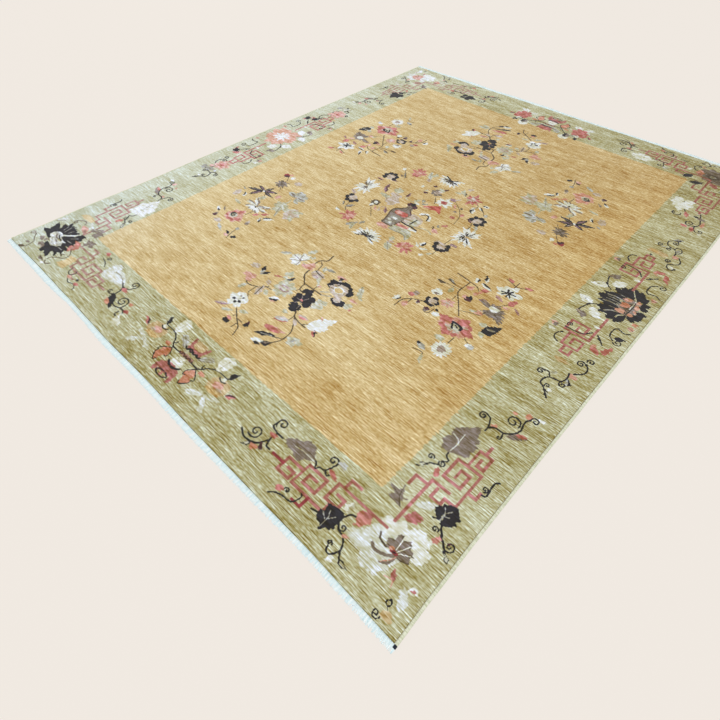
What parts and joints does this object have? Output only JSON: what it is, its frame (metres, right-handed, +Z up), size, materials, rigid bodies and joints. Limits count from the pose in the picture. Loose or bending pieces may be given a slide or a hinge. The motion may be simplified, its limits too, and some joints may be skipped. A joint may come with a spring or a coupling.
{
  "type": "chinese art deco rug",
  "caption": "Rectangular knotted wool rug lying flat: gold field, pale green border, floral sprays, round medallion, key frets, overcast sides and short cut fringe at both ends.",
  "frame": {"origin": "on the floor under the middle of the rug", "axes": "+X across the rug's width, +Y along its length towards the far end, +Z up"},
  "size_m": [2.748, 3.603, 0.0112],
  "materials": {
    "knotted_wool": "cut wool pile, soft sheen",
    "overcast_wool": "wrapped wool yarn, matte",
    "ivory_warp_cotton": "woven web and cut warp ends, matte"
  },
  "bodies": {
    "root": {"knotted_pile": "knotted_wool", "side_cord_left": "overcast_wool", "side_cord_right": "overcast_wool", "end_fringe_near": "ivory_warp_cotton", "end_fringe_far": "ivory_warp_cotton"}
  },
  "joints": []
}
